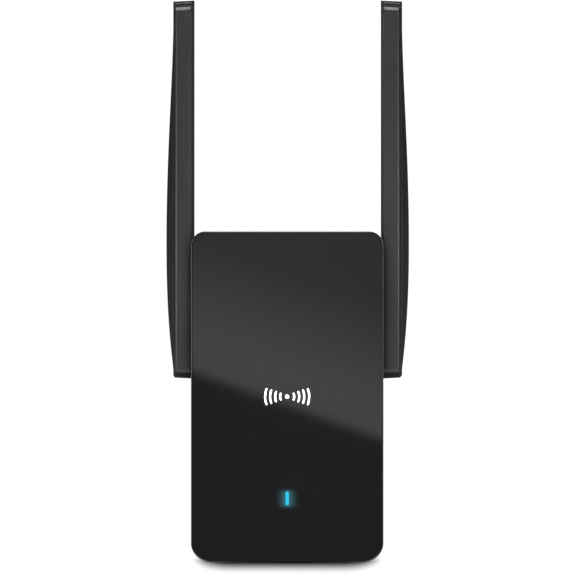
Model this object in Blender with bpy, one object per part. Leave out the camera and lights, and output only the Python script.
"""A plug-in wifi range extender with two paddle antennas that swing on its sides.

The origin lies on the rear face, midway between the two plug blades. Seen from the front,
+X points right and -Y at the viewer; +Y points into the wall socket and +Z up.
Lengths are given in millimetres and become metres where each mesh or curve is made.
An antenna's own lengths count from its pivot, with x counted outwards from the body's side.
"""

import math

import bmesh
import bpy
from mathutils import Vector

MM = 0.001
GAP = 0.3  # between pieces that rest on each other
SNUG = 0.1  # around a piece seated in its neighbour
ARC_STEPS = 6  # edges in each round corner of the body
ROUND = 24  # edges in a full circle
SMALL_ROUND = 14

# Body
BODY_HALF_WIDTH = 28.0
BODY_BASE = -44.0
BODY_TOP = 52.4
BODY_DEPTH = 28.0
PANEL_THICKNESS = 1.7
PANEL_BASE_RADIUS = 5.8
PANEL_TOP_RADIUS = 4.2
PANEL_EDGE_RADIUS = 0.5
PANEL_BOW = 0.4  # how much lower the base is at its middle than at its corners
STEP_IN = 0.6  # from the panel's edge to the housing's side
WALL = 1.6
WEB = 1.4
COVER_DEPTH = 6.7
COVER_WALL = 2.0
COVER_EDGE_RADIUS = 2.0
TONGUE = 1.9  # how far the rear cover reaches into the housing
TONGUE_THICKNESS = 1.2

PANEL_FRONT = -BODY_DEPTH
PANEL_REAR = PANEL_FRONT + PANEL_THICKNESS
HOUSING_FRONT = PANEL_REAR + GAP
WEB_REAR = HOUSING_FRONT + WEB
HOUSING_HALF = BODY_HALF_WIDTH - STEP_IN
HOUSING_BASE = BODY_BASE + STEP_IN
HOUSING_TOP = BODY_TOP - STEP_IN
HOUSING_INSIDE = HOUSING_HALF - WALL
PARTING = -COVER_DEPTH - GAP
TONGUE_INSET = WALL + 0.15
COVER_INSET = TONGUE_INSET + TONGUE_THICKNESS
COVER_FLOOR = -COVER_WALL

# Clips that hold the panel, each as (x, z, the way its barb points)
HOOKS = [(x, z, direction) for x in (-20.0, 20.0) for z, direction in ((-30.0, -1), (38.0, 1))]
HOOK_HALF = 2.0
HOOK_TIP = WEB_REAR + 1.2
BARB = 0.5

# Label in its recess
LABEL_HALF = 17.7
LABEL_BASE = 12.3
LABEL_TOP = 33.7
LABEL_RECESS = 0.4

# Openings in the body
LED_HEIGHT = BODY_BASE + 18.5
LED_SLOT = (0.9, 4.4)
TOP_VENTS = 9
TOP_VENT_PITCH = 3.6
SIDE_VENTS = 11
SIDE_VENT_PITCH = 3.2
SIDE_VENT_LOWEST = -37.0
BASE_VENTS = (12.0, 15.0, 18.0, 21.0)
VENT_WIDTH = 1.4
SNAP_HEIGHTS = (-26.0, 38.0)
SNAP_LENGTH = 6.0

# Plug, a two-blade 15 A mains plug
BLADE_SPACING = 12.7
BLADE_THICKNESS = 1.5
BLADE_WIDTH = 6.35
BLADE_LENGTH = 17.5
BLADE_HOLE_RADIUS = 1.6
BLADE_HOLE_AT = 11.9
CARRIER_HALF = (12.0, 6.5)
CARRIER_FRONT = -6.0
BLADE_SHOULDER = CARRIER_FRONT - 0.15
BLADE_TAB = BLADE_SHOULDER - 1.2
BLADE_TAB_END = BLADE_TAB - 2.1

# Circuit boards
MAIN_BOARD_FRONT = WEB_REAR + 2.0
MAIN_BOARD_REAR = MAIN_BOARD_FRONT + 1.0
MAIN_BOARD_HALF = 24.6
MAIN_BOARD_BASE = -41.4
MAIN_BOARD_TOP = 47.0
ON_MAIN_BOARD = MAIN_BOARD_REAR + SNUG
POWER_BOARD_REAR = -5.0
POWER_BOARD_FRONT = POWER_BOARD_REAR - 1.6
POWER_BOARD_HALF = 23.0
POWER_BOARD_BASE = 9.5
POWER_BOARD_TOP = 48.0
ON_POWER_BOARD = POWER_BOARD_FRONT - 0.2
MAIN_POSTS = ((21.5, 28.0), (-21.5, 28.0), (21.5, -20.0), (-21.5, -20.0))
MAIN_SCREWS = (MAIN_POSTS[0], MAIN_POSTS[3])
POWER_POSTS = ((20.0, 14.0), (-20.0, 14.0), (20.0, 44.0), (-20.0, 44.0))
POWER_SCREW = POWER_POSTS[0]
POST_RADIUS = 2.5
PILOT_RADIUS = 1.2
SCREW_RADIUS = 1.0

# Wifi chip and its shield can, on the main board
SHIELD = ((-16.0, 14.0), (4.0, 34.0))
SHIELD_HEIGHT = 2.0
SHIELD_METAL = 0.3
CHIP_AT = (-2.0, 20.0)
CHIP_HALF = 7.0

# LAN jack
JACK_HALF = 8.0
JACK_FRONT = MAIN_BOARD_REAR + 0.2
JACK_REAR = -8.8
JACK_MOUTH = -43.0
JACK_TOP = -25.6
JACK_METAL = 0.3
JACK_CONTACTS = 8
JACK_CONTACT_PITCH = 1.02

# Push switches behind the right side
SWITCH_INNER = 20.6
SWITCH_OUTER = 23.7
WPS_BUTTON_Y = -18.6
WPS_SWITCH_Y = -19.2
WPS_HEIGHT = -14.0
BUTTON_TRAVEL = 0.5
RESET_Y = -19.3
RESET_HEIGHT = -27.0
BUTTON_FACE = BODY_HALF_WIDTH - 0.1
BUTTON_HALF = (2.0, 5.0)
BUTTON_FLANGE = 0.6

# Antennas, counted from the pivot
PIVOT_Y = -14.5
PIVOT_HEIGHT = 19.3
ANTENNA_INNER = 0.25
ANTENNA_HALF_DEPTH = 8.5
ANTENNA_BELOW = 10.2
ANTENNA_ABOVE = 104.1  # to the rear edge of the slanted top
ANTENNA_SLANT = 2.9  # how much lower the top would be at the front
ANTENNA_FRONT_OUT = 5.0
ANTENNA_REAR_OUT = 6.9
ANTENNA_BULGE = 2.0
ANTENNA_STATIONS = 16
ANTENNA_WALL = 1.0
ANTENNA_END_WALL = 3.4
END_CHAMFER = 0.6
# The front of a paddle is a block, shorter than the plate behind it. Each end of the block
# is a pair of slopes, as (y, z) where they start beyond the front, meet and reach the plate.
BLOCK_TOP = ((-9.5, 97.4), (-7.7, 99.55), (-3.5, 100.9))
BLOCK_BASE = ((-9.5, -5.8), (-7.7, -8.05), (-3.5, -9.55))
COVER_PLATE = 0.5
COVER_IN = (0.6, 2.8)  # from the paddle's sides and ends to the cover's edge
COVER_TONGUE_IN = (1.2, 3.7)
COVER_TONGUE = 0.85

# Pivot, counted outwards from the body's side
HUB_RADIUS = 4.75
HUB_FACE = -0.35
STOP_RADII = (5.1, 6.6)
STOP_HALF_ANGLE = 12.5
STOP_CLEARANCE = 1.0
SHAFT_RADIUS = 3.0
SHAFT_BORE = 1.2
SHAFT_INNER_END = -5.6
SHAFT_FLANGE = (1.7, 2.7)
SHAFT_FLANGE_RADIUS = 4.3
GROOVE = (-4.7, -4.0)
GROOVE_RADIUS = 2.4
BUSH_BORE = SHAFT_RADIUS + SNUG
BUSH_RADIUS = 4.2
BUSH_FLANGE_RADIUS = 5.2
LEAD_DIAMETER = 1.13

# Colour, roughness and metallic value of each finish
FINISHES = {
    "gloss_panel": ((0.012, 0.012, 0.013), 0.06, 0.0),
    "housing_plastic": ((0.018, 0.018, 0.019), 0.42, 0.0),
    "antenna_plastic": ((0.028, 0.028, 0.029), 0.48, 0.0),
    "circuit_board": ((0.02, 0.14, 0.06), 0.45, 0.0),
    "tinned_steel": ((0.62, 0.62, 0.6), 0.32, 1.0),
    "plated_brass": ((0.72, 0.68, 0.58), 0.25, 1.0),
    "gold_contact": ((0.85, 0.62, 0.25), 0.25, 1.0),
    "chip_plastic": ((0.02, 0.02, 0.02), 0.5, 0.0),
    "heat_sink": ((0.72, 0.73, 0.74), 0.38, 1.0),
    "thermal_pad": ((0.45, 0.5, 0.62), 0.8, 0.0),
    "led": ((0.15, 0.75, 0.95), 0.3, 0.0),
    "light_pipe": ((0.6, 0.9, 0.95), 0.15, 0.0),
    "jack_plastic": ((0.015, 0.015, 0.015), 0.45, 0.0),
    "ferrite": ((0.05, 0.05, 0.055), 0.6, 0.0),
    "winding_tape": ((0.75, 0.6, 0.12), 0.4, 0.0),
    "capacitor_sleeve": ((0.03, 0.035, 0.08), 0.35, 0.0),
    "resistor_coat": ((0.1, 0.28, 0.16), 0.45, 0.0),
    "insulation": ((0.78, 0.78, 0.72), 0.5, 0.0),
    "label_paper": ((0.62, 0.63, 0.63), 0.5, 0.0),
    "bearing_plastic": ((0.75, 0.75, 0.72), 0.4, 0.0),
    "spring_steel": ((0.5, 0.5, 0.5), 0.3, 1.0),
    "coax_jacket": ((0.03, 0.03, 0.035), 0.4, 0.0),
    "red_wire": ((0.5, 0.03, 0.03), 0.4, 0.0),
    "black_wire": ((0.02, 0.02, 0.02), 0.4, 0.0),
    "white_wire": ((0.7, 0.7, 0.68), 0.4, 0.0),
    "plug_carrier": ((0.03, 0.03, 0.03), 0.55, 0.0),
}


# Scene and materials

def clear_scene():
    for obj in list(bpy.data.objects):
        bpy.data.objects.remove(obj, do_unlink=True)


def new_material(name, look):
    """A sub-part's own material, in one of the finishes."""
    color, roughness, metallic = FINISHES[look]
    material = bpy.data.materials.new(name)
    material.use_nodes = True
    shader = material.node_tree.nodes["Principled BSDF"]
    shader.inputs["Base Color"].default_value = (*color, 1.0)
    shader.inputs["Roughness"].default_value = roughness
    shader.inputs["Metallic"].default_value = metallic
    material.diffuse_color = (*color, 1.0)
    return material


def add_empty(name, location=(0, 0, 0), parent=None):
    empty = bpy.data.objects.new(name, None)
    empty.location = Vector(location) * MM
    empty.parent = parent
    bpy.context.scene.collection.objects.link(empty)
    return empty


def new_object(name, bm, look, parent, location=(0, 0, 0), side=1):
    """Turns a mesh under construction into an object; side -1 makes its mirror image across X."""
    for vert in bm.verts:
        vert.co.x *= side
    bmesh.ops.recalc_face_normals(bm, faces=bm.faces)
    mesh = bpy.data.meshes.new(name)
    bm.to_mesh(mesh)
    bm.free()
    mesh.shade_smooth()
    mesh.set_sharp_from_angle(angle=math.radians(32))
    obj = bpy.data.objects.new(name, mesh)
    obj.location = Vector(location) * MM
    obj.parent = parent
    if look:
        mesh.materials.append(new_material(name, look))
    bpy.context.scene.collection.objects.link(obj)
    return obj


def boolean(target, bm, operation, side=1):
    """Cuts a shape from the target or joins one to it, by a hidden helper that it carries."""
    name = f"{target.name}_{operation.lower()}_{len(target.modifiers) + 1}"
    helper = new_object(name, bm, None, target, side=side)
    helper.hide_render = True
    helper.display_type = "WIRE"
    modifier = target.modifiers.new(operation.title(), "BOOLEAN")
    modifier.operation = operation
    modifier.solver = "EXACT"
    modifier.object = helper


# Outlines, each a list of points in a plane

def rectangle(first, second):
    """Corners of the rectangle between two (low, high) ranges."""
    return [
        (first[0], second[0]),
        (first[1], second[0]),
        (first[1], second[1]),
        (first[0], second[1]),
    ]


def centred(half_across, half_upright):
    return rectangle((-half_across, half_across), (-half_upright, half_upright))


def arc(centre, radius, start, end, steps):
    """Points from one angle to another, in degrees, both ends included."""
    points = []
    for step in range(steps + 1):
        angle = math.radians(start + (end - start) * step / steps)
        points.append((centre[0] + radius * math.cos(angle), centre[1] + radius * math.sin(angle)))
    return points


def circle(radius, centre=(0, 0), segments=ROUND):
    return arc(centre, radius, 0, 360 - 360 / segments, segments - 1)


def pill(half_across, half_along, centre=(0, 0), steps=6):
    """A slot's outline, with round ends, long in its second direction."""
    straight = half_along - half_across
    upper = arc((centre[0], centre[1] + straight), half_across, 0, 180, steps)
    lower = arc((centre[0], centre[1] - straight), half_across, 180, 360, steps)
    return upper + lower


def arc_band(inner, outer, start, end, steps, centre=(0, 0)):
    """A stretch of a flat ring."""
    return arc(centre, outer, start, end, steps) + arc(centre, inner, end, start, steps)


def rounded_outline(half_width, low, high, low_radius, high_radius, bow=0.0):
    """An upright rectangle with round corners, whose lower edge may bow down in the middle."""
    flat = half_width - low_radius
    points = arc((half_width - high_radius, high - high_radius), high_radius, 0, 90, ARC_STEPS)
    points += arc((high_radius - half_width, high - high_radius), high_radius, 90, 180, ARC_STEPS)
    points += arc((-flat, low + low_radius), low_radius, 180, 270, ARC_STEPS)
    if bow:
        points += [(flat * step / 4, low) for step in range(-3, 4)]
    points += arc((flat, low + low_radius), low_radius, 270, 360, ARC_STEPS)
    return [
        (x, z + bow * (x / half_width) ** 2 * max(0.0, 1 - (z - low) / low_radius))
        for x, z in points
    ]


def housing_outline(inset=0.0):
    return rounded_outline(
        HOUSING_HALF - inset,
        HOUSING_BASE + inset,
        HOUSING_TOP - inset,
        PANEL_BASE_RADIUS - STEP_IN - inset,
        PANEL_TOP_RADIUS - STEP_IN - inset,
    )


# Shapes, each added to a mesh under construction

def lift(outline, axis, level):
    """Places an outline in the plane at a level across the axis x, y or z."""
    place = {
        "x": lambda a, b: (level, a, b),
        "y": lambda a, b: (a, level, b),
        "z": lambda a, b: (a, b, level),
    }[axis]
    return [place(a, b) for a, b in outline]


def loft(bm, rings, closed=False):
    """Skins rings of equal length; the end rings are capped, or joined to each other when closed."""
    rows = [[bm.verts.new(Vector(point) * MM) for point in ring] for ring in rings]
    pairs = list(zip(rows, rows[1:]))
    if closed:
        pairs.append((rows[-1], rows[0]))
    else:
        bm.faces.new(rows[0])
        bm.faces.new(rows[-1])
    count = len(rows[0])
    for first, second in pairs:
        for i in range(count):
            j = (i + 1) % count
            bm.faces.new((first[i], first[j], second[j], second[i]))
    return bm


def prism(bm, outline, axis, low, high):
    return loft(bm, [lift(outline, axis, low), lift(outline, axis, high)])


def add_box(bm, across, along, upright):
    return prism(bm, rectangle(across, along), "z", *upright)


def turned(bm, axis, profile, centre=(0, 0), segments=ROUND, closed=False):
    """A solid of revolution from (level, radius) pairs; closed makes a ring with a bore."""
    rings = [lift(circle(radius, centre, segments), axis, level) for level, radius in profile]
    return loft(bm, rings, closed)


def cup(bm, axis, outer, inner, rim, outer_end, inner_end):
    """A thin-walled box, open at its rim and closed at its far end."""
    return loft(
        bm,
        [
            lift(outer, axis, outer_end),
            lift(outer, axis, rim),
            lift(inner, axis, rim),
            lift(inner, axis, inner_end),
        ],
    )


def frame(bm, axis, outer, inner, low, high):
    """The solid between two outlines, as a closed band along an axis."""
    return loft(
        bm,
        [
            lift(outer, axis, low),
            lift(outer, axis, high),
            lift(inner, axis, high),
            lift(inner, axis, low),
        ],
        closed=True,
    )


def blade_slots(bm, clearance, depth):
    """Cutters for both plug blades through whatever lies in a range of depth."""
    for side in (-1, 1):
        middle = side * BLADE_SPACING / 2
        half_across = BLADE_THICKNESS / 2 + clearance
        half_upright = BLADE_WIDTH / 2 + clearance
        across = (middle - half_across, middle + half_across)
        add_box(bm, across, depth, (-half_upright, half_upright))
    return bm


def smooth_route(route, spacing):
    """Points about a spacing apart along the Catmull-Rom curve through a route."""
    ends = [Vector(point) for point in route]
    ends = [2 * ends[0] - ends[1], *ends, 2 * ends[-1] - ends[-2]]
    points = []
    for before, start, end, after in zip(ends, ends[1:], ends[2:], ends[3:]):
        steps = max(1, round((end - start).length / spacing))
        for step in range(steps):
            t = step / steps
            points.append(
                0.5 * (
                    2 * start
                    + (end - before) * t
                    + (2 * before - 5 * start + 4 * end - after) * t ** 2
                    + (3 * start - before - 3 * end + after) * t ** 3
                )
            )
    points.append(ends[-2])
    return points


def tube(name, route, diameter, look, parent, side=1):
    """A round lead along a smooth route; side -1 mirrors it across X."""
    curve = bpy.data.curves.new(name, "CURVE")
    curve.dimensions = "3D"
    curve.bevel_depth = diameter / 2 * MM
    curve.bevel_resolution = 2
    curve.use_fill_caps = True
    points = smooth_route(route, 1.2 * diameter)
    spline = curve.splines.new("POLY")
    spline.points.add(len(points) - 1)
    for target, point in zip(spline.points, points):
        target.co = (side * point.x * MM, point.y * MM, point.z * MM, 1.0)
    obj = bpy.data.objects.new(name, curve)
    obj.parent = parent
    curve.materials.append(new_material(name, look))
    bpy.context.scene.collection.objects.link(obj)
    return obj


# Casing

def make_front_panel(root):
    """The glossy face: a rounded plate with an eased edge, clipped through the housing's web."""
    rings = [(PANEL_REAR, 0.3), (PANEL_REAR - 0.3, 0.0)]
    for degrees in (0, 30, 60, 90):
        angle = math.radians(degrees)
        y = PANEL_FRONT + PANEL_EDGE_RADIUS * (1 - math.sin(angle))
        rings.append((y, PANEL_EDGE_RADIUS * (1 - math.cos(angle))))
    bm = bmesh.new()
    loft(
        bm,
        [
            lift(
                rounded_outline(
                    BODY_HALF_WIDTH - inset,
                    BODY_BASE + inset,
                    BODY_TOP - inset,
                    PANEL_BASE_RADIUS - inset,
                    PANEL_TOP_RADIUS - inset,
                    PANEL_BOW,
                ),
                "y",
                y,
            )
            for y, inset in rings
        ],
    )
    panel = new_object("front_panel", bm, "gloss_panel", root)
    half_width, half_height = LED_SLOT[0] / 2, LED_SLOT[1] / 2
    slot = pill(half_width, half_height, (0, LED_HEIGHT), 4)
    boolean(panel, prism(bmesh.new(), slot, "y", PANEL_FRONT - 1, PANEL_REAR + 1), "DIFFERENCE")
    hooks = bmesh.new()
    for x, z, direction in HOOKS:
        outline = [
            (PANEL_REAR - 0.6, z),
            (HOOK_TIP, z),
            (HOOK_TIP, z + direction),
            (WEB_REAR + 0.7, z + direction * (1 + BARB)),
            (WEB_REAR + 0.2, z + direction * (1 + BARB)),
            (WEB_REAR + 0.2, z + direction),
            (PANEL_REAR - 0.6, z + direction),
        ]
        prism(hooks, outline, "x", x - HOOK_HALF, x + HOOK_HALF)
    boolean(panel, hooks, "UNION")


def vent_cutters(bm):
    """The slots that let air through the housing's top, sides and base."""
    for index in range(TOP_VENTS):
        x = (index - (TOP_VENTS - 1) / 2) * TOP_VENT_PITCH
        span = (x - VENT_WIDTH / 2, x + VENT_WIDTH / 2)
        add_box(bm, span, (-20.0, -10.0), (HOUSING_TOP - WALL - 1, HOUSING_TOP + 1))
    for index in range(SIDE_VENTS):
        z = SIDE_VENT_LOWEST + index * SIDE_VENT_PITCH
        span = (z - VENT_WIDTH / 2, z + VENT_WIDTH / 2)
        for side in (-1, 1):
            across = sorted((side * (HOUSING_INSIDE - 1), side * (HOUSING_HALF + 1)))
            add_box(bm, across, (-14.6, -9.6), span)
    for x in BASE_VENTS:
        for side in (-1, 1):
            across = (side * x - VENT_WIDTH / 2, side * x + VENT_WIDTH / 2)
            add_box(bm, across, (-19.5, -10.5), (HOUSING_BASE - 1, HOUSING_BASE + WALL + 1))


def make_front_housing(root):
    """The main shell behind the panel, open at the back."""
    bm = bmesh.new()
    loft(
        bm,
        [
            lift(housing_outline(0.3), "y", HOUSING_FRONT),
            lift(housing_outline(), "y", HOUSING_FRONT + 0.3),
            lift(housing_outline(), "y", PARTING),
            lift(housing_outline(WALL), "y", PARTING),
            lift(housing_outline(WALL), "y", WEB_REAR),
        ],
    )
    housing = new_object("front_housing", bm, "housing_plastic", root)

    added = bmesh.new()
    for post in MAIN_POSTS:
        profile = [(WEB_REAR - 0.6, POST_RADIUS), (MAIN_BOARD_FRONT - SNUG, POST_RADIUS)]
        turned(added, "y", profile, post, SMALL_ROUND)
    pivot = (PIVOT_Y, PIVOT_HEIGHT)
    start = 180 + STOP_HALF_ANGLE + STOP_CLEARANCE
    rib = arc_band(*STOP_RADII, start, 540 - start, 12, pivot)
    for side in (-1, 1):
        reach = sorted((side * (HOUSING_HALF - 0.4), side * BODY_HALF_WIDTH))
        prism(added, rib, "x", *reach)
    boolean(housing, added, "UNION")

    cutters = bmesh.new()
    vent_cutters(cutters)
    pilot = [(WEB_REAR + 0.1, PILOT_RADIUS), (MAIN_BOARD_REAR, PILOT_RADIUS)]
    for post in MAIN_POSTS:
        turned(cutters, "y", pilot, post, 10)
    slot = pill(LED_SLOT[0] / 2 + SNUG, LED_SLOT[1] / 2 + SNUG, (0, LED_HEIGHT), 4)
    prism(cutters, slot, "y", HOUSING_FRONT - 1, WEB_REAR + 0.5)
    for x, z, direction in HOOKS:
        across = (x - HOOK_HALF - 0.2, x + HOOK_HALF + 0.2)
        upright = sorted((z - direction * 0.2, z + direction * (1 + BARB + 0.2)))
        add_box(cutters, across, (HOUSING_FRONT - 1, WEB_REAR + 1), upright)
    for side in (-1, 1):
        reach = sorted((side * (HOUSING_INSIDE - 1), side * (BODY_HALF_WIDTH + 1)))
        turned(cutters, "x", [(reach[0], BUSH_RADIUS + SNUG), (reach[1], BUSH_RADIUS + SNUG)], pivot)
        for z in SNAP_HEIGHTS:
            across = sorted((side * (HOUSING_INSIDE - 0.5), side * (HOUSING_INSIDE + 0.65)))
            half = SNAP_LENGTH / 2 + GAP
            add_box(cutters, across, (PARTING - 1.9, PARTING - 0.3), (z - half, z + half))
    right = (HOUSING_INSIDE - 1, BODY_HALF_WIDTH + 1)
    button_hole = pill(BUTTON_HALF[0] + 0.25, BUTTON_HALF[1] + 0.25, (WPS_BUTTON_Y, WPS_HEIGHT))
    prism(cutters, button_hole, "x", *right)
    turned(cutters, "x", [(right[0], 0.9), (right[1], 0.9)], (RESET_Y, RESET_HEIGHT), SMALL_ROUND)
    jack_width = (-JACK_HALF - SNUG, JACK_HALF + SNUG)
    jack_depth = (JACK_FRONT - 0.2, JACK_REAR + 0.2)
    add_box(cutters, jack_width, jack_depth, (HOUSING_BASE - 1, HOUSING_BASE + WALL + 1))
    boolean(housing, cutters, "DIFFERENCE")


def make_rear_cover(root):
    """The back of the case, whose tongue snaps into the housing."""
    rings = []
    for degrees in (90, 60, 30, 0):
        angle = math.radians(degrees)
        y = COVER_EDGE_RADIUS * (math.sin(angle) - 1)
        rings.append((y, COVER_EDGE_RADIUS * (1 - math.cos(angle))))
    rings += [
        (-COVER_DEPTH, 0.0),
        (-COVER_DEPTH, TONGUE_INSET),
        (-COVER_DEPTH - TONGUE, TONGUE_INSET),
        (-COVER_DEPTH - TONGUE, COVER_INSET),
        (COVER_FLOOR, COVER_INSET),
    ]
    bm = bmesh.new()
    loft(bm, [lift(housing_outline(inset), "y", y) for y, inset in rings])
    cover = new_object("rear_cover", bm, "housing_plastic", root)

    added = bmesh.new()
    for post in POWER_POSTS:
        profile = [(COVER_FLOOR + 0.8, POST_RADIUS), (POWER_BOARD_REAR + SNUG, POST_RADIUS)]
        turned(added, "y", profile, post, SMALL_ROUND)
    inner_side = HOUSING_HALF - TONGUE_INSET
    for side in (-1, 1):
        for z in SNAP_HEIGHTS:
            across = sorted((side * (inner_side - 0.8), side * (inner_side + 0.5)))
            depth = (-COVER_DEPTH - TONGUE + 0.2, -COVER_DEPTH - TONGUE + 1.2)
            add_box(added, across, depth, (z - SNAP_LENGTH / 2, z + SNAP_LENGTH / 2))
    boolean(cover, added, "UNION")

    inner = centred(CARRIER_HALF[0] + 0.2, CARRIER_HALF[1] + 0.2)
    outer = centred(CARRIER_HALF[0] + 1.2, CARRIER_HALF[1] + 1.2)
    collar = frame(bmesh.new(), "y", outer, inner, COVER_FLOOR + 0.6, CARRIER_FRONT)
    boolean(cover, collar, "UNION")

    cutters = bmesh.new()
    blade_slots(cutters, 0.2, (COVER_FLOOR - 0.2, 1.0))
    recess = (-LABEL_HALF - GAP, LABEL_HALF + GAP)
    add_box(cutters, recess, (-LABEL_RECESS, 1.0), (LABEL_BASE - GAP, LABEL_TOP + GAP))
    pilot = [(COVER_FLOOR + 0.6, PILOT_RADIUS), (POWER_BOARD_FRONT, PILOT_RADIUS)]
    turned(cutters, "y", pilot, POWER_SCREW, 10)
    boolean(cover, cutters, "DIFFERENCE")


def make_rating_label(root):
    bm = bmesh.new()
    add_box(bm, (-LABEL_HALF, LABEL_HALF), (-0.3, -0.12), (LABEL_BASE, LABEL_TOP))
    new_object("rating_label", bm, "label_paper", root)


# Plug

def make_blade_carrier(root):
    """The block that holds both blades against the rear cover."""
    bm = bmesh.new()
    width = (-CARRIER_HALF[0], CARRIER_HALF[0])
    add_box(bm, width, (CARRIER_FRONT, COVER_FLOOR - GAP), (-CARRIER_HALF[1], CARRIER_HALF[1]))
    carrier = new_object("blade_carrier", bm, "plug_carrier", root)
    boolean(carrier, blade_slots(bmesh.new(), 0.15, (CARRIER_FRONT - 1, 0.0)), "DIFFERENCE")


def make_plug_blade(root, label, side):
    """A flat mains blade with a tapered tip, a shoulder behind its carrier and a solder tab."""
    half = BLADE_WIDTH / 2
    upper = [
        (BLADE_TAB_END, 2.0),
        (BLADE_TAB, 2.0),
        (BLADE_TAB, half + 1.0),
        (BLADE_SHOULDER, half + 1.0),
        (BLADE_SHOULDER, half),
        (BLADE_LENGTH - 1.6, half),
        (BLADE_LENGTH, half - 1.1),
    ]
    outline = upper + [(y, -z) for y, z in reversed(upper)]
    bm = bmesh.new()
    prism(bm, outline, "x", -BLADE_THICKNESS / 2, BLADE_THICKNESS / 2)
    blade = new_object(f"plug_blade_{label}", bm, "plated_brass", root, (side * BLADE_SPACING / 2, 0, 0))
    hole = bmesh.new()
    turned(hole, "x", [(-2, BLADE_HOLE_RADIUS), (2, BLADE_HOLE_RADIUS)], (BLADE_HOLE_AT, 0), 16)
    boolean(blade, hole, "DIFFERENCE")


def make_mains_lead(root, label, side):
    """From a blade's tab up to the power board."""
    edge = (BLADE_SPACING + BLADE_THICKNESS) / 2 + 0.8 + 0.15
    route = [
        (edge, BLADE_TAB - 1.0, -1.2),
        (edge, BLADE_TAB - 1.0, 1.5),
        (edge + 0.4, BLADE_TAB - 1.6, 6.0),
        (edge + 0.9, BLADE_TAB - 1.5, 9.6),
        (edge + 0.9, BLADE_TAB - 0.6, 11.6),
        (edge + 0.9, ON_POWER_BOARD - 0.1, 12.2),
    ]
    tube(f"mains_lead_{label}", route, 1.6, "white_wire" if side > 0 else "black_wire", root, side)


# Power supply

def make_power_board(root):
    bm = bmesh.new()
    width = (-POWER_BOARD_HALF, POWER_BOARD_HALF)
    add_box(bm, width, (POWER_BOARD_FRONT, POWER_BOARD_REAR), (POWER_BOARD_BASE, POWER_BOARD_TOP))
    board = new_object("power_board", bm, "circuit_board", root)
    chips = bmesh.new()
    small_parts = ((-14.0, 24.0, 2.5, 2.0), (-6.0, 12.6, 1.6, 0.9), (16.0, 21.6, 2.4, 1.6))
    for x, z, half_x, half_z in small_parts:
        depth = (POWER_BOARD_FRONT - 1.2, POWER_BOARD_FRONT + 0.4)
        add_box(chips, (x - half_x, x + half_x), depth, (z - half_z, z + half_z))
    boolean(board, chips, "UNION")
    holes = bmesh.new()
    for post in POWER_POSTS:
        turned(holes, "y", [(POWER_BOARD_FRONT - 1, 1.3), (POWER_BOARD_REAR + 1, 1.3)], post, 12)
    boolean(board, holes, "DIFFERENCE")


def make_capacitor(root, name, x, z, radius, length):
    """A radial can with its rolled groove near the board."""
    bm = bmesh.new()
    profile = [
        (0, radius),
        (-1.2, radius),
        (-1.6, radius - 0.4),
        (-2.0, radius),
        (-length + 0.3, radius),
        (-length, radius - 0.3),
    ]
    turned(bm, "y", profile, segments=18)
    new_object(name, bm, "capacitor_sleeve", root, (x, ON_POWER_BOARD, z))


def make_transformer(root, x=-9.0, z=36.0):
    """A ferrite ring core round a taped winding, whose bobbin is wider at both ends."""
    window = (5.6, 5.0)
    core = frame(bmesh.new(), "y", centred(9.0, 8.0), centred(*window), -8.6, -2.6)
    new_object("transformer_core", core, "ferrite", root, (x, ON_POWER_BOARD, z))
    narrow = centred(window[0] - GAP, window[1] - GAP)
    wide = centred(window[0] + 1.2, window[1] - GAP)
    levels = ((0.0, wide), (-1.8, wide), (-1.8, narrow), (-9.4, narrow), (-9.4, wide), (-11.0, wide))
    winding = loft(bmesh.new(), [lift(outline, "y", y) for y, outline in levels])
    new_object("transformer_winding", winding, "winding_tape", root, (x, ON_POWER_BOARD, z))


def make_power_parts(root):
    make_transformer(root)
    make_capacitor(root, "input_capacitor_1", 6.0, 41.0, 4.0, 11.4)
    make_capacitor(root, "input_capacitor_2", 15.6, 38.0, 4.0, 11.4)
    make_capacitor(root, "output_capacitor", 16.0, 28.6, 3.4, 9.0)
    bridge = prism(bmesh.new(), centred(3.2, 2.3), "y", 0.0, -2.6)
    new_object("bridge_rectifier", bridge, "chip_plastic", root, (6.0, ON_POWER_BOARD, 30.0))
    choke = bmesh.new()
    profile = [(0.0, 4.0), (-1.4, 4.0), (-1.4, 3.1), (-6.4, 3.1), (-6.4, 4.0), (-7.8, 4.0)]
    turned(choke, "y", profile, segments=18)
    new_object("choke_coil", choke, "ferrite", root, (4.0, ON_POWER_BOARD, 18.5))
    resistor = bmesh.new()
    half = [(2.4, 1.4), (3.0, 1.7), (4.2, 1.5), (4.4, 0.5)]
    profile = [(-x, radius) for x, radius in reversed(half)] + half
    turned(resistor, "x", profile, segments=SMALL_ROUND)
    new_object("fuse_resistor", resistor, "resistor_coat", root, (-7.5, ON_POWER_BOARD - 2.0, 19.0))


def make_insulation_sheet(root):
    """The sheet between the two boards, narrower where the antenna leads pass."""
    outline = [(-15, 8), (15, 8), (15, 27), (21, 27), (21, 48), (-21, 48), (-21, 27), (-15, 27)]
    bm = bmesh.new()
    prism(bm, outline, "y", -18.9, -18.6)
    new_object("insulation_sheet", bm, "insulation", root)


def make_screw(root, name, post, head_at, shaft, direction):
    """A pan-head screw whose shaft runs along Y from under its head."""
    bm = bmesh.new()
    profile = [
        (-direction * 1.3, 0.9),
        (-direction * 1.0, 1.7),
        (-direction * 0.2, 2.0),
        (0.0, 2.0),
        (0.0, SCREW_RADIUS),
        (direction * (shaft - 0.5), SCREW_RADIUS),
        (direction * shaft, 0.5),
    ]
    turned(bm, "y", profile, segments=12)
    new_object(name, bm, "tinned_steel", root, (post[0], head_at, post[1]))


# Main board and what it carries

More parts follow.
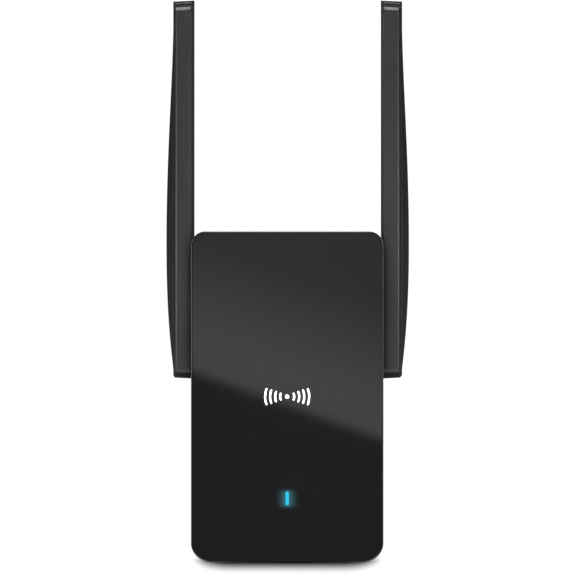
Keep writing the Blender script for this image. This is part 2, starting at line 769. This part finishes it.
def make_main_board(root):
    bm = bmesh.new()
    outline = rounded_outline(MAIN_BOARD_HALF, MAIN_BOARD_BASE, MAIN_BOARD_TOP, 3.5, 2.0)
    prism(bm, outline, "y", MAIN_BOARD_FRONT, MAIN_BOARD_REAR)
    board = new_object("main_board", bm, "circuit_board", root)
    chips = bmesh.new()
    small_parts = ((-18.0, -6.0, 3.0, 4.0), (-18.5, -32.0, 2.0, 2.5), (0.0, 40.5, 3.5, 2.2))
    for x, z, half_x, half_z in small_parts:
        depth = (MAIN_BOARD_REAR - 0.4, MAIN_BOARD_REAR + 1.0)
        add_box(chips, (x - half_x, x + half_x), depth, (z - half_z, z + half_z))
    boolean(board, chips, "UNION")
    holes = bmesh.new()
    for post in MAIN_SCREWS:
        turned(holes, "y", [(MAIN_BOARD_FRONT - 1, 1.3), (MAIN_BOARD_REAR + 1, 1.3)], post, 12)
    boolean(board, holes, "DIFFERENCE")


def make_radio(root):
    """The wifi chip under its shield can, and the heat spreader in front of the board."""
    chip = bmesh.new()
    add_box(chip, (-CHIP_HALF, CHIP_HALF), (0.0, 1.0), (-CHIP_HALF, CHIP_HALF))
    new_object("wifi_processor", chip, "chip_plastic", root, (CHIP_AT[0], ON_MAIN_BOARD, CHIP_AT[1]))
    pad = bmesh.new()
    add_box(pad, (-6.0, 6.0), (0.0, 0.4), (-6.0, 6.0))
    new_object("thermal_pad", pad, "thermal_pad", root, (CHIP_AT[0], ON_MAIN_BOARD + 1.1, CHIP_AT[1]))
    can = bmesh.new()
    inner = [(low + SHIELD_METAL, high - SHIELD_METAL) for low, high in SHIELD]
    cup(
        can,
        "y",
        rectangle(*SHIELD),
        rectangle(*inner),
        ON_MAIN_BOARD,
        ON_MAIN_BOARD + SHIELD_HEIGHT,
        ON_MAIN_BOARD + SHIELD_HEIGHT - SHIELD_METAL,
    )
    new_object("rf_shield_can", can, "tinned_steel", root)
    outline = rounded_outline(17.0, -10.0, 44.0, 2.0, 2.0)
    plate = prism(bmesh.new(), outline, "y", WEB_REAR + GAP, MAIN_BOARD_FRONT - 0.7)
    new_object("heat_sink_plate", plate, "heat_sink", root)


def make_status_light(root):
    """The LED and the light pipe that carries it to the panel's face."""
    led = bmesh.new()
    add_box(led, (-0.8, 0.8), (MAIN_BOARD_FRONT - 0.9, MAIN_BOARD_FRONT - SNUG), (-1.6, 1.6))
    new_object("status_led", led, "led", root, (0, 0, LED_HEIGHT))
    flange_front = WEB_REAR + SNUG
    flange_rear = flange_front + 0.7
    stem = pill(LED_SLOT[0] / 2 - SNUG, LED_SLOT[1] / 2 - SNUG, steps=4)
    wide = pill(1.2, 2.9, steps=4)
    pipe = bmesh.new()
    loft(
        pipe,
        [
            lift(wide, "y", flange_rear),
            lift(wide, "y", flange_front),
            lift(stem, "y", flange_front),
            lift(stem, "y", PANEL_FRONT + 0.05),
        ],
    )
    new_object("led_light_pipe", pipe, "light_pipe", root, (0, 0, LED_HEIGHT))


def make_lan_jack(root):
    """A shielded eight-contact jack that opens downwards."""
    inside = JACK_HALF - JACK_METAL
    outer = rectangle((-JACK_HALF, JACK_HALF), (JACK_FRONT, JACK_REAR))
    inner = rectangle((-inside, inside), (JACK_FRONT + JACK_METAL, JACK_REAR - JACK_METAL))
    shield = bmesh.new()
    cup(shield, "z", outer, inner, JACK_MOUTH, JACK_TOP, JACK_TOP - JACK_METAL)
    new_object("lan_jack_shield", shield, "tinned_steel", root)

    half = inside - 0.15
    depth = (JACK_FRONT + JACK_METAL + 0.12, JACK_REAR - JACK_METAL - 0.12)
    mouth = JACK_MOUTH + SNUG
    body = bmesh.new()
    add_box(body, (-half, half), depth, (mouth, JACK_TOP - JACK_METAL - 0.2))
    jack = new_object("lan_jack_body", body, "jack_plastic", root)
    cavity = bmesh.new()
    outline = [
        (-5.9, -19.6),
        (5.9, -19.6),
        (5.9, -12.6),
        (3.1, -12.6),
        (3.1, -11.0),
        (-3.1, -11.0),
        (-3.1, -12.6),
        (-5.9, -12.6),
    ]
    prism(cavity, outline, "z", mouth - 1, -29.5)
    boolean(jack, cavity, "DIFFERENCE")

    # A comb of eight tines, leaning away from the cavity's front wall towards its bar
    bar = (-31.6, -29.8)
    tip = -40.0
    tine = 0.25
    outline = [(4.4, bar[0]), (4.4, bar[1]), (-4.4, bar[1]), (-4.4, bar[0])]
    for index in range(JACK_CONTACTS):
        x = (index - (JACK_CONTACTS - 1) / 2) * JACK_CONTACT_PITCH
        outline += [(x - tine, bar[0]), (x - tine, tip), (x + tine, tip), (x + tine, bar[0])]
    bm = bmesh.new()
    prism(bm, outline, "y", -19.45, -19.1)
    for vert in bm.verts:
        vert.co.y += 0.085 * (vert.co.z - tip * MM)
    new_object("lan_jack_contacts", bm, "gold_contact", root)

    magnetics = bmesh.new()
    add_box(magnetics, (-7.8, 7.8), (ON_MAIN_BOARD, ON_MAIN_BOARD + 5.0), (-22.5, -13.0))
    new_object("lan_transformer", magnetics, "chip_plastic", root)


def make_switch(root, name, y, z, plunger_half, plunger_end, button):
    """A side-push switch on the main board and its plunger, which a moving parent carries."""
    body = bmesh.new()
    depth = (ON_MAIN_BOARD - y, ON_MAIN_BOARD - y + 4.2)
    add_box(body, (SWITCH_INNER, SWITCH_OUTER), depth, (-3.0, 3.0))
    switch = new_object(f"{name}_switch_body", body, "chip_plastic", root, (0, y, z))
    hole = bmesh.new()
    half_y, half_z = plunger_half[0] + 0.2, plunger_half[1] + 0.2
    hole_floor = SWITCH_OUTER - 1.7
    add_box(hole, (hole_floor, SWITCH_OUTER + 1), (-half_y, half_y), (-half_z, half_z))
    boolean(switch, hole, "DIFFERENCE")
    plunger = bmesh.new()
    offset = button.location.copy() / MM
    across = (hole_floor + BUTTON_TRAVEL + SNUG - offset.x, plunger_end - offset.x)
    centre_y, centre_z = y - offset.y, z - offset.z
    add_box(
        plunger,
        across,
        (centre_y - plunger_half[0], centre_y + plunger_half[0]),
        (centre_z - plunger_half[1], centre_z + plunger_half[1]),
    )
    new_object(f"{name}_switch_plunger", plunger, "insulation", button)


def make_buttons(root):
    """The pairing button with its switch, and the reset switch behind its pinhole."""
    push = add_empty("wps_push", (BUTTON_FACE, WPS_BUTTON_Y, WPS_HEIGHT), root)
    inner_face = HOUSING_INSIDE - 1.0 - BUTTON_FACE
    shoulder = HOUSING_INSIDE - 0.3 - BUTTON_FACE
    flange = pill(BUTTON_HALF[0] + BUTTON_FLANGE, BUTTON_HALF[1] + BUTTON_FLANGE)
    cap = pill(*BUTTON_HALF)
    eased = pill(BUTTON_HALF[0] - 0.25, BUTTON_HALF[1] - 0.25)
    bm = bmesh.new()
    loft(
        bm,
        [
            lift(flange, "x", inner_face),
            lift(flange, "x", shoulder),
            lift(cap, "x", shoulder),
            lift(cap, "x", -0.25),
            lift(eased, "x", 0.0),
        ],
    )
    new_object("wps_button", bm, "housing_plastic", push)
    plunger_end = BUTTON_FACE + inner_face - 0.2
    make_switch(root, "wps", WPS_SWITCH_Y, WPS_HEIGHT, (0.8, 1.3), plunger_end, push)
    reset = add_empty("reset_push", (SWITCH_OUTER, RESET_Y, RESET_HEIGHT), root)
    make_switch(root, "reset", RESET_Y, RESET_HEIGHT, (0.7, 0.7), SWITCH_OUTER + 0.6, reset)


def make_leads(root):
    """The low-voltage pair between the boards, and each side's antenna connector and coax."""
    pair = (("dc_lead_positive", -16.0, "red_wire"), ("dc_lead_negative", -12.6, "black_wire"))
    for name, x, look in pair:
        route = [
            (x, ON_POWER_BOARD - 0.1, 11.8),
            (x, ON_POWER_BOARD - 2.2, 11.4),
            (x + 0.4, -12.5, 7.0),
            (x + 1.2, -17.0, 0.5),
            (x + 1.8, -19.6, -2.4),
            (x + 1.8, ON_MAIN_BOARD + 0.2, -3.0),
        ]
        tube(name, route, 1.3, look, root)
    coax = [
        (20.0, -20.6, 5.9),
        (20.0, -20.3, 9.0),
        (18.6, -18.4, 12.4),
        (17.2, -16.3, 15.6),
        (17.4, PIVOT_Y - 0.3, 18.5),
        (19.6, PIVOT_Y, PIVOT_HEIGHT),
        (22.0, PIVOT_Y, PIVOT_HEIGHT),
        (25.0, PIVOT_Y, PIVOT_HEIGHT),
    ]
    for label, side in (("left", -1), ("right", 1)):
        socket = bmesh.new()
        turned(socket, "y", [(0.0, 1.5), (0.5, 1.5), (0.6, 1.2), (1.5, 1.2)], segments=SMALL_ROUND)
        name = f"{label}_antenna_connector"
        new_object(name, socket, "gold_contact", root, (side * 20.0, ON_MAIN_BOARD, 4.0))
        tube(f"{label}_coax_lead", coax, LEAD_DIAMETER, "coax_jacket", root, side)


# Antennas and their pivots

def bulge(u):
    """How far the outer rear edge swells, 0 to 1, at a height from 0 at the bottom to 1 at the top."""
    peak, low, high = 0.35, 0.02, 0.94
    if u <= low or u >= high:
        return 0.0
    if u < peak:
        t = ((u - low) / (peak - low)) ** 0.52
    else:
        t = ((high - u) / (high - peak)) ** 0.8
    return 0.5 - 0.5 * math.cos(math.pi * t)


def antenna_top(y):
    return ANTENNA_ABOVE - ANTENNA_SLANT * (ANTENNA_HALF_DEPTH - y) / (2 * ANTENNA_HALF_DEPTH)


def antenna_ring(u, inner_x, inset=0.0, end_inset=0.0):
    """The paddle's section at a height from 0 to 1, drawn in from its faces and its two ends."""
    front = -ANTENNA_HALF_DEPTH + inset
    rear = ANTENNA_HALF_DEPTH - inset
    front_out = ANTENNA_FRONT_OUT - inset
    rear_out = ANTENNA_REAR_OUT + ANTENNA_BULGE * bulge(u) - inset
    slope = (rear_out - front_out) / (rear - front)
    section = [
        (inner_x, front + 0.2),
        (inner_x + 0.2, front),
        (front_out - 0.35, front),
        (front_out + slope * 0.6, front + 0.6),
        (rear_out - slope * 0.5, rear - 0.5),
        (rear_out - 0.5, rear),
        (inner_x + 0.2, rear),
        (inner_x, rear - 0.2),
    ]
    ring = []
    for x, y in section:
        bottom = -ANTENNA_BELOW + end_inset
        top = antenna_top(y) - end_inset
        ring.append((x, y, bottom + u * (top - bottom)))
    return ring


def block_cutters(bm):
    """What is taken off the front of a paddle's two ends, to leave the block."""
    beyond = (ANTENNA_ABOVE + 1, -ANTENNA_BELOW - 1)
    for slopes, level in zip((BLOCK_TOP, BLOCK_BASE), beyond):
        start, meet, plate = slopes
        prism(bm, [(start[0], level), start, meet, plate, (plate[0], level)], "x", -2.0, 14.0)
    return bm


def antenna_stations():
    """Heights from 0 to 1, denser near the bottom, where the swelling starts."""
    return [(step / ANTENNA_STATIONS) ** 1.35 for step in range(ANTENNA_STATIONS + 1)]


def make_antenna_shell(pivot, label, side):
    """The paddle's hollow outer shell, open at its inner face, where a recess takes the cover."""
    bm = bmesh.new()
    rings = [antenna_ring(u, ANTENNA_INNER, end_inset=END_CHAMFER) for u in antenna_stations()]
    eased_bottom = antenna_ring(0.0, ANTENNA_INNER, inset=END_CHAMFER / 2)
    eased_top = antenna_ring(1.0, ANTENNA_INNER, inset=END_CHAMFER)
    loft(bm, [eased_bottom, *rings, eased_top])
    shell = new_object(f"{label}_antenna_shell", bm, "antenna_plastic", pivot, side=side)
    hollow = bmesh.new()
    loft(
        hollow,
        [antenna_ring(u, -1.0, ANTENNA_WALL, ANTENNA_END_WALL) for u in antenna_stations()],
    )
    boolean(shell, hollow, "DIFFERENCE", side)
    recess = cover_outline(COVER_IN[0] - SNUG, COVER_IN[1] - SNUG)
    depth = ANTENNA_INNER + COVER_PLATE + SNUG
    boolean(shell, prism(bmesh.new(), recess, "x", -1.0, depth), "DIFFERENCE", side)
    boolean(shell, block_cutters(bmesh.new()), "DIFFERENCE", side)


def cover_outline(inset, end_inset):
    front = -ANTENNA_HALF_DEPTH + inset
    rear = ANTENNA_HALF_DEPTH - inset
    bottom = -ANTENNA_BELOW + end_inset
    corner = 0.6
    return [
        (front + corner, bottom),
        (rear - corner, bottom),
        (rear, bottom + corner),
        (rear, antenna_top(rear) - end_inset - corner),
        (rear - corner, antenna_top(rear - corner) - end_inset),
        (front + corner, antenna_top(front + corner) - end_inset),
        (front, antenna_top(front) - end_inset - corner),
        (front, bottom + corner),
    ]


def make_antenna_cover(pivot, label, side):
    """The plate in the paddle's inner face, with the hub and the stop lug that meet the body."""
    edge = ANTENNA_INNER + COVER_PLATE
    rows = [
        (ANTENNA_INNER, COVER_IN),
        (edge, COVER_IN),
        (edge, COVER_TONGUE_IN),
        (edge + COVER_TONGUE, COVER_TONGUE_IN),
    ]
    bm = bmesh.new()
    loft(bm, [lift(cover_outline(*insets), "x", x) for x, insets in rows])
    cover = new_object(f"{label}_antenna_cover", bm, "antenna_plastic", pivot, side=side)
    inside = ANTENNA_INNER + 0.4
    added = bmesh.new()
    turned(added, "x", [(HUB_FACE, HUB_RADIUS), (inside, HUB_RADIUS)])
    lug = arc_band(*STOP_RADII, -STOP_HALF_ANGLE, STOP_HALF_ANGLE, 4)
    prism(added, lug, "x", HUB_FACE, inside)
    boolean(cover, added, "UNION", side)
    bore = bmesh.new()
    turned(bore, "x", [(HUB_FACE - 1, BUSH_BORE), (edge + COVER_TONGUE + 1, BUSH_BORE)])
    boolean(cover, bore, "DIFFERENCE", side)


def make_pivot(root, pivot, label, side):
    """The bush in the body's side and the hollow shaft, washer and clip that turn in it."""
    wall_inside = -STEP_IN - WALL
    bush = bmesh.new()
    profile = [
        (wall_inside - 0.75, BUSH_BORE),
        (wall_inside - 0.75, BUSH_FLANGE_RADIUS),
        (wall_inside - 0.15, BUSH_FLANGE_RADIUS),
        (wall_inside - 0.15, BUSH_RADIUS),
        (-STEP_IN + 0.1, BUSH_RADIUS),
        (-STEP_IN + 0.1, BUSH_BORE),
    ]
    turned(bush, "x", profile, closed=True)
    location = (side * BODY_HALF_WIDTH, PIVOT_Y, PIVOT_HEIGHT)
    new_object(f"{label}_pivot_bush", bush, "bearing_plastic", root, location, side)

    washer = bmesh.new()
    profile = [(-3.9, 3.2), (-3.5, 3.2), (-3.1, 4.8), (-3.5, 4.8)]
    turned(washer, "x", profile, closed=True)
    new_object(f"{label}_friction_washer", washer, "spring_steel", root, location, side)

    shaft = bmesh.new()
    profile = [
        (SHAFT_INNER_END, SHAFT_BORE),
        (SHAFT_INNER_END, SHAFT_RADIUS - 0.4),
        (SHAFT_INNER_END + 0.4, SHAFT_RADIUS),
        (GROOVE[0], SHAFT_RADIUS),
        (GROOVE[0], GROOVE_RADIUS),
        (GROOVE[1], GROOVE_RADIUS),
        (GROOVE[1], SHAFT_RADIUS),
        (SHAFT_FLANGE[0], SHAFT_RADIUS),
        (SHAFT_FLANGE[0], SHAFT_FLANGE_RADIUS),
        (SHAFT_FLANGE[1], SHAFT_FLANGE_RADIUS),
        (SHAFT_FLANGE[1], SHAFT_BORE),
    ]
    turned(shaft, "x", profile, closed=True)
    new_object(f"{label}_pivot_shaft", shaft, "tinned_steel", pivot, side=side)

    clip = bmesh.new()
    outline = arc_band(GROOVE_RADIUS + SNUG, 4.4, 125, 415, 18)
    prism(clip, outline, "x", GROOVE[0] + SNUG, GROOVE[1] - SNUG)
    new_object(f"{label}_retaining_clip", clip, "spring_steel", pivot, side=side)


def make_antenna(root, label, side):
    pivot = add_empty(f"{label}_antenna_pivot", (side * BODY_HALF_WIDTH, PIVOT_Y, PIVOT_HEIGHT), root)
    make_antenna_shell(pivot, label, side)
    make_antenna_cover(pivot, label, side)
    make_pivot(root, pivot, label, side)
    element = bmesh.new()
    prism(element, rectangle((-4.5, 4.5), (12.8, 92.0)), "x", 2.2, 3.0)
    new_object(f"{label}_antenna_element", element, "circuit_board", pivot, side=side)
    lead = [
        (-2.7, 0, 0),
        (0.0, 0, 0),
        (2.0, 0, 0.0),
        (3.3, 0, 0.7),
        (3.95, 0, 2.6),
        (3.95, 0, 7.0),
        (3.95, 0, 15.0),
    ]
    tube(f"{label}_antenna_lead", lead, LEAD_DIAMETER, "coax_jacket", pivot, side)


def build():
    clear_scene()
    root = add_empty("range_extender")
    make_front_panel(root)
    make_front_housing(root)
    make_rear_cover(root)
    make_rating_label(root)
    make_blade_carrier(root)
    for label, side in (("left", -1), ("right", 1)):
        make_plug_blade(root, label, side)
        make_mains_lead(root, label, side)
        make_antenna(root, label, side)
    make_power_board(root)
    make_power_parts(root)
    make_insulation_sheet(root)
    for number, post in enumerate(MAIN_SCREWS, 1):
        make_screw(root, f"main_board_screw_{number}", post, ON_MAIN_BOARD, 3.0, -1)
    make_screw(root, "power_board_screw", POWER_SCREW, POWER_BOARD_FRONT - SNUG, 4.0, 1)
    make_main_board(root)
    make_radio(root)
    make_status_light(root)
    make_lan_jack(root)
    make_buttons(root)
    make_leads(root)


build()
